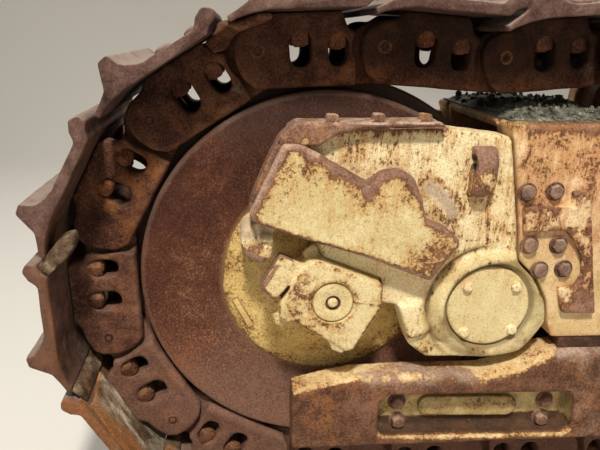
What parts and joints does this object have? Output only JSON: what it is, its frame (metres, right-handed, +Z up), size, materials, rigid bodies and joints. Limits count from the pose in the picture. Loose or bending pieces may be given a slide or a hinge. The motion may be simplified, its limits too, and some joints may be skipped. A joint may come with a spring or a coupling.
{
  "type": "crawler track front idler assembly",
  "caption": "Front end of a crawler undercarriage: idler wheel in a swing carrier with guards and frame nose, rollers, and the length of shoed chain track wrapped round it.",
  "frame": {"origin": "on the ground, at the centre of the assembly's box", "axes": "+X rearward along the track, +Y inboard (the outer side faces -Y), +Z up"},
  "size_m": [1.9502, 0.69, 1.5959],
  "materials": {
    "worn_wheel_steel": "red-brown rust, worn by the track",
    "cream_paint": "faded cream-yellow paint, pitted with rust",
    "rusted_paint": "orange rust through faded paint",
    "link_steel": "dark brown rust with orange streaks",
    "shoe_steel": "mauve-brown rust, dusty",
    "roller_steel": "greasy brown rust",
    "bright_wear": "worn steel"
  },
  "bodies": {
    "undercarriage": {"idler_axle": "bright_wear", "outer_bearing_block": "cream_paint", "outer_carrier_arm": "cream_paint", "outer_pivot_pin": "bright_wear", "outer_pivot_cap": "cream_paint", "outer_arm_guard": "cream_paint", "outer_top_cover": "cream_paint", "outer_lifting_eye": "cream_paint", "outer_frame_beam": "rusted_paint", "outer_frame_cheek": "rusted_paint", "outer_stop_pad": "rusted_paint", "outer_roller_guard": "link_steel", "outer_guard_hanger": "rusted_paint", "outer_roller_pedestal": "rusted_paint", "inner_bearing_block": "cream_paint", "inner_carrier_arm": "cream_paint", "inner_pivot_pin": "bright_wear", "inner_pivot_cap": "cream_paint", "inner_arm_guard": "cream_paint", "inner_top_cover": "cream_paint", "inner_lifting_eye": "cream_paint", "inner_frame_beam": "rusted_paint", "inner_frame_cheek": "rusted_paint", "inner_stop_pad": "rusted_paint", "inner_roller_guard": "link_steel", "inner_guard_hanger": "rusted_paint", "inner_roller_pedestal": "rusted_paint", "frame_core": "rusted_paint", "frame_end_plate": "rusted_paint", "front_track_roller": "roller_steel", "rear_track_roller": "roller_steel", "track_roller_shafts": "bright_wear", "carrier_roller": "roller_steel", "carrier_roller_shaft": "bright_wear", "outer_track_links": "link_steel", "inner_track_links": "link_steel", "track_pins": "bright_wear", "track_bushings": "link_steel", "track_shoes": "shoe_steel"},
    "idler": {"idler_wheel": "worn_wheel_steel"}
  },
  "joints": [
    {"name": "idler_spin", "type": "hinge", "parent": "undercarriage", "child": "idler", "pos_m": [-0.20438, 0, 0.79708], "axis": [0, 1, 0], "continuous": true}
  ]
}
